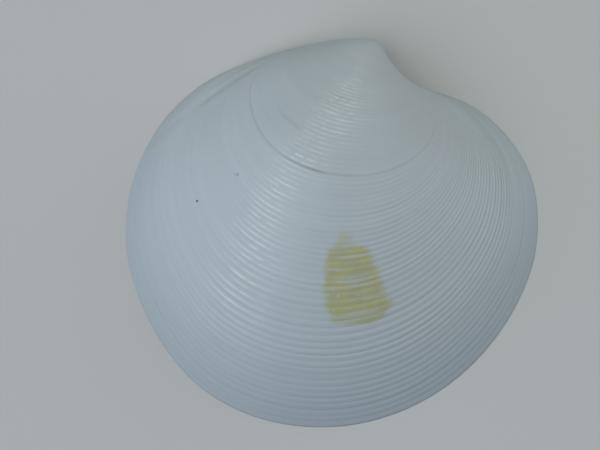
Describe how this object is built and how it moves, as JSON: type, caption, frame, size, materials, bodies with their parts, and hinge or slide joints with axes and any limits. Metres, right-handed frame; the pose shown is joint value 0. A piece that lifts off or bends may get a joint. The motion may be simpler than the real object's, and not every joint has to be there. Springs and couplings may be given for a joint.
{
  "type": "bivalve sea shell valve",
  "caption": "Single valve of a rounded bivalve sea shell: a deep dome with fine growth ridges and a forward-curled beak, hollow below, lying on its flat rim.",
  "frame": {"origin": "middle of the valve's box, on the plane that its rim rests on", "axes": "+Z away from the surface it lies on, through the outside of the dome; +X from the back end to the front end, the way the beak curls; +Y from the lower edge to the beak"},
  "size_m": [0.045, 0.0424, 0.0122],
  "materials": {
    "shell": "satin grey-white shell with a thin brown growth line and a small tan stain"
  },
  "bodies": {
    "root": {"valve": "shell"}
  },
  "joints": []
}
